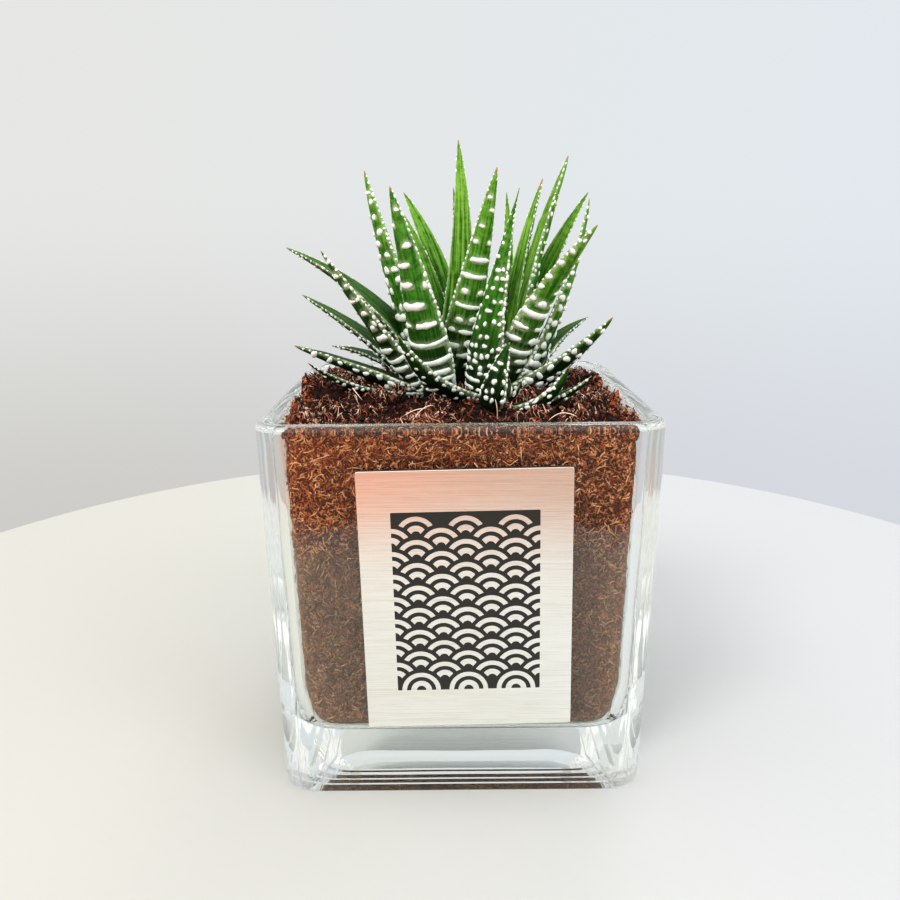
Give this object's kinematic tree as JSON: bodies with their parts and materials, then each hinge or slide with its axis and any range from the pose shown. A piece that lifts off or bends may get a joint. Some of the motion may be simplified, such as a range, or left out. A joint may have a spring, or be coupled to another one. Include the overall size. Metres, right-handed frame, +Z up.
{
  "type": "potted zebra haworthia",
  "caption": "Small succulent with white-ridged pointed leaves, potted in coir in a square clear glass pot with a thick base and a brushed metal badge on its front.",
  "frame": {"origin": "middle of the glass pot's underside, on the surface that it stands on", "axes": "+X to the right, +Y to the back, away from the badge, and +Z up"},
  "size_m": [0.1, 0.1014, 0.1695],
  "materials": {
    "glass": "clear, thick, fire-polished",
    "coir": "crumbly, fibrous coir",
    "badge": "brushed along its width, over a black core",
    "root": "dull skin",
    "leaf_heart": "waxy, satin, with raised white dots",
    "leaf_middle": "waxy, satin, with raised white ridges",
    "leaf_outer": "waxy, satin, with raised white ridges"
  },
  "bodies": {
    "root": {"glass_pot": "glass", "potting_mix": "coir", "badge_plate": "badge", "rootstock": "root", "leaf_01": "leaf_heart", "leaf_02": "leaf_heart", "leaf_03": "leaf_heart", "leaf_04": "leaf_heart", "leaf_05": "leaf_heart", "leaf_06": "leaf_heart", "leaf_07": "leaf_heart", "leaf_08": "leaf_heart", "leaf_09": "leaf_middle", "leaf_10": "leaf_middle", "leaf_11": "leaf_middle", "leaf_12": "leaf_outer", "leaf_13": "leaf_outer", "leaf_14": "leaf_heart", "leaf_15": "leaf_middle", "leaf_16": "leaf_middle", "leaf_17": "leaf_middle", "leaf_18": "leaf_outer", "leaf_19": "leaf_outer", "leaf_20": "leaf_outer", "leaf_21": "leaf_outer", "leaf_22": "leaf_outer", "leaf_23": "leaf_outer", "leaf_24": "leaf_middle", "leaf_25": "leaf_middle", "leaf_26": "leaf_middle", "leaf_27": "leaf_outer", "leaf_28": "leaf_middle", "leaf_29": "leaf_outer", "leaf_30": "leaf_middle", "leaf_31": "leaf_middle", "leaf_32": "leaf_middle", "leaf_33": "leaf_middle", "leaf_34": "leaf_outer", "leaf_35": "leaf_outer", "leaf_36": "leaf_outer", "leaf_37": "leaf_outer", "leaf_38": "leaf_outer", "leaf_39": "leaf_heart", "leaf_40": "leaf_heart"}
  },
  "joints": []
}
